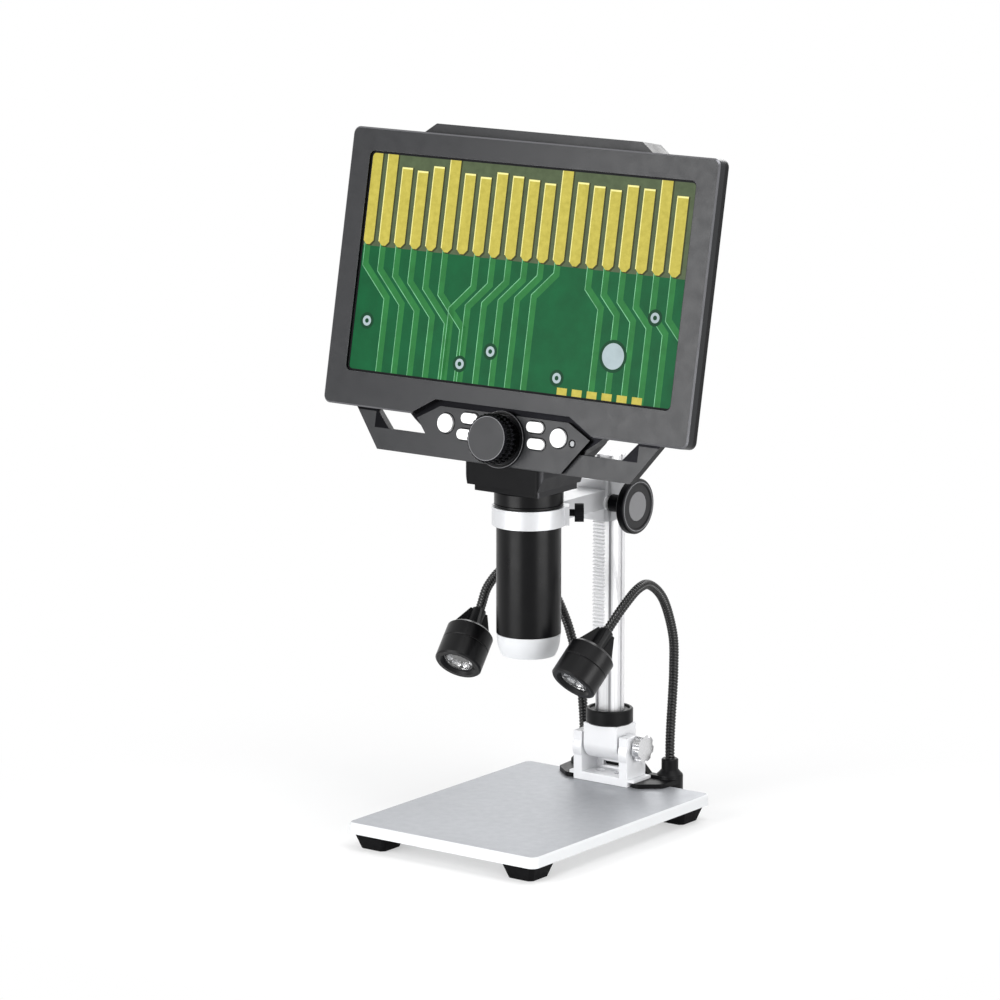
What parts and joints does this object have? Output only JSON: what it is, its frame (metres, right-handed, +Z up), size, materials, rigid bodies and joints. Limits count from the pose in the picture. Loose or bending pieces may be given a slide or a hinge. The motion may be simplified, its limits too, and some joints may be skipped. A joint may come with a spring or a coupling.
{
  "type": "lcd digital microscope",
  "caption": "Desk microscope with a leaning flat screen and control panel, geared column on a plate base and two gooseneck lamps.",
  "frame": {"origin": "centre of the whole outline seen from above, at the height of the surface it stands on", "axes": "+X is the viewer's right, +Y is away from the viewer towards the column, +Z is up"},
  "size_m": [0.2246, 0.1696, 0.3583],
  "materials": {
    "plate_aluminium": "satin",
    "bright_aluminium": "satin",
    "rack_steel": "brushed",
    "fastener_steel": "polished",
    "feet_rubber": "matte",
    "black_plastic": "satin",
    "knob_black": "satin",
    "knob_grey": "satin",
    "barrel_black": "gloss",
    "frosted_plastic": "frosted",
    "white_plastic": "satin",
    "charcoal_plastic": "satin",
    "housing_black": "satin",
    "circuit_board": "gloss",
    "display": "gloss",
    "screen_glass": "gloss",
    "lens_glass": "gloss",
    "battery_wrap": "satin",
    "hose_black": "satin",
    "lamp_black": "satin",
    "led_white": "gloss"
  },
  "bodies": {
    "base": {"base_plate": "plate_aluminium", "rubber_feet": "feet_rubber", "foot_screws": "fastener_steel", "hinge_bracket": "bright_aluminium", "bracket_screws": "fastener_steel", "lamp_clip_left": "black_plastic", "lamp_clip_right": "black_plastic", "tilt_nut": "fastener_steel"},
    "column": {"tilt_block": "bright_aluminium", "column_collar": "black_plastic", "column": "bright_aluminium", "rack": "rack_steel"},
    "tilt_knob": {"tilt_bolt": "fastener_steel", "tilt_knob": "fastener_steel"},
    "carriage": {"carriage": "bright_aluminium", "slide_pad": "white_plastic", "pad_screws": "fastener_steel"},
    "clamp_screw": {"clamp_screw": "black_plastic"},
    "focus_knob": {"pinion_shaft": "rack_steel", "focus_knob": "knob_black", "knob_disc": "knob_grey"},
    "head": {"barrel": "barrel_black", "barrel_neck": "barrel_black", "lens_hood": "frosted_plastic", "light_ring": "white_plastic", "head_housing": "housing_black", "sensor_board": "circuit_board", "control_housing": "charcoal_plastic", "button_board": "circuit_board", "status_light": "frosted_plastic", "wheel_trim": "black_plastic", "bezel": "charcoal_plastic", "screen_glass": "screen_glass", "display_panel": "display", "rear_cover": "housing_black", "main_board": "circuit_board", "battery_pack": "battery_wrap", "cover_screws": "fastener_steel", "spine_screws": "fastener_steel", "side_ports": "fastener_steel"},
    "focus_wheel": {"focus_wheel": "black_plastic", "wheel_cap": "charcoal_plastic"},
    "lens_tube": {"lens_tube": "barrel_black", "objective_lens": "lens_glass"},
    "lamp_left": {"gooseneck_left": "hose_black", "lamp_head_left": "lamp_black", "lamp_lens_left": "lens_glass", "lamp_chip_left": "led_white"},
    "lamp_right": {"gooseneck_right": "hose_black", "lamp_head_right": "lamp_black", "lamp_lens_right": "lens_glass", "lamp_chip_right": "led_white"},
    "round_button_left": {"round_button_left": "white_plastic"},
    "round_button_right": {"round_button_right": "white_plastic"},
    "upper_button_left": {"upper_button_left": "white_plastic"},
    "upper_button_right": {"upper_button_right": "white_plastic"},
    "lower_button_left": {"lower_button_left": "white_plastic"},
    "lower_button_right": {"lower_button_right": "white_plastic"}
  },
  "joints": [
    {"name": "column_tilt", "type": "hinge", "parent": "base", "child": "column", "pos_m": [0, 0.06223, 0.0336], "axis": [1, 0, 0], "range_deg": [-30, 5]},
    {"name": "tilt_knob_turn", "type": "hinge", "parent": "base", "child": "tilt_knob", "pos_m": [0, 0.06223, 0.0336], "axis": [1, 0, 0], "range_deg": [-90, 90]},
    {"name": "carriage_slide", "type": "slide", "parent": "column", "child": "carriage", "axis": [0, 0, 1], "range_m": [-0.055, 0.01]},
    {"name": "clamp_screw_turn", "type": "hinge", "parent": "carriage", "child": "clamp_screw", "pos_m": [0, -0.00928, 0.1672], "axis": [0.8049, 0.5934, 0], "range_deg": [-90, 90]},
    {"name": "focus_knob_turn", "type": "hinge", "parent": "carriage", "child": "focus_knob", "pos_m": [0, 0.04822, 0.1642], "axis": [1, 0, 0], "range_deg": [-165, 880]},
    {"name": "head_swivel", "type": "hinge", "parent": "carriage", "child": "head", "pos_m": [0, -0.00928, 0.1662], "axis": [0, 0, 1], "range_deg": [-45, 45]},
    {"name": "focus_wheel_turn", "type": "hinge", "parent": "head", "child": "focus_wheel", "pos_m": [0, -0.03533, 0.20857], "axis": [0, -0.9811, 0.1935], "range_deg": [-180, 180]},
    {"name": "lens_tube_slide", "type": "slide", "parent": "head", "child": "lens_tube", "axis": [0, 0, 1], "range_m": [-0.004, 0.004]},
    {"name": "lamp_left_swivel", "type": "hinge", "parent": "base", "child": "lamp_left", "pos_m": [-0.02735, 0.07787, 0.026], "axis": [0, 0, 1], "range_deg": [-45, 3]},
    {"name": "lamp_right_swivel", "type": "hinge", "parent": "base", "child": "lamp_right", "pos_m": [0.02735, 0.07787, 0.026], "axis": [0, 0, 1], "range_deg": [-3, 45]},
    {"name": "round_button_left_press", "type": "slide", "parent": "head", "child": "round_button_left", "axis": [0, 0.9811, -0.1935], "range_m": [0, 0.0008], "stiffness_N_per_m": 1000, "springref_m": -0.0005},
    {"name": "round_button_right_press", "type": "slide", "parent": "head", "child": "round_button_right", "axis": [0, 0.9811, -0.1935], "range_m": [0, 0.0008], "stiffness_N_per_m": 1000, "springref_m": -0.0005},
    {"name": "upper_button_left_press", "type": "slide", "parent": "head", "child": "upper_button_left", "axis": [0, 0.9811, -0.1935], "range_m": [0, 0.0008], "stiffness_N_per_m": 1000, "springref_m": -0.0005},
    {"name": "upper_button_right_press", "type": "slide", "parent": "head", "child": "upper_button_right", "axis": [0, 0.9811, -0.1935], "range_m": [0, 0.0008], "stiffness_N_per_m": 1000, "springref_m": -0.0005},
    {"name": "lower_button_left_press", "type": "slide", "parent": "head", "child": "lower_button_left", "axis": [0, 0.9811, -0.1935], "range_m": [0, 0.0008], "stiffness_N_per_m": 1000, "springref_m": -0.0005},
    {"name": "lower_button_right_press", "type": "slide", "parent": "head", "child": "lower_button_right", "axis": [0, 0.9811, -0.1935], "range_m": [0, 0.0008], "stiffness_N_per_m": 1000, "springref_m": -0.0005}
  ],
  "couplings": [
    {"joint": "focus_knob_turn", "follows": "carriage_slide", "rad_per_m": -277.78},
    {"joint": "focus_wheel_turn", "follows": "lens_tube_slide", "rad_per_m": 785}
  ]
}
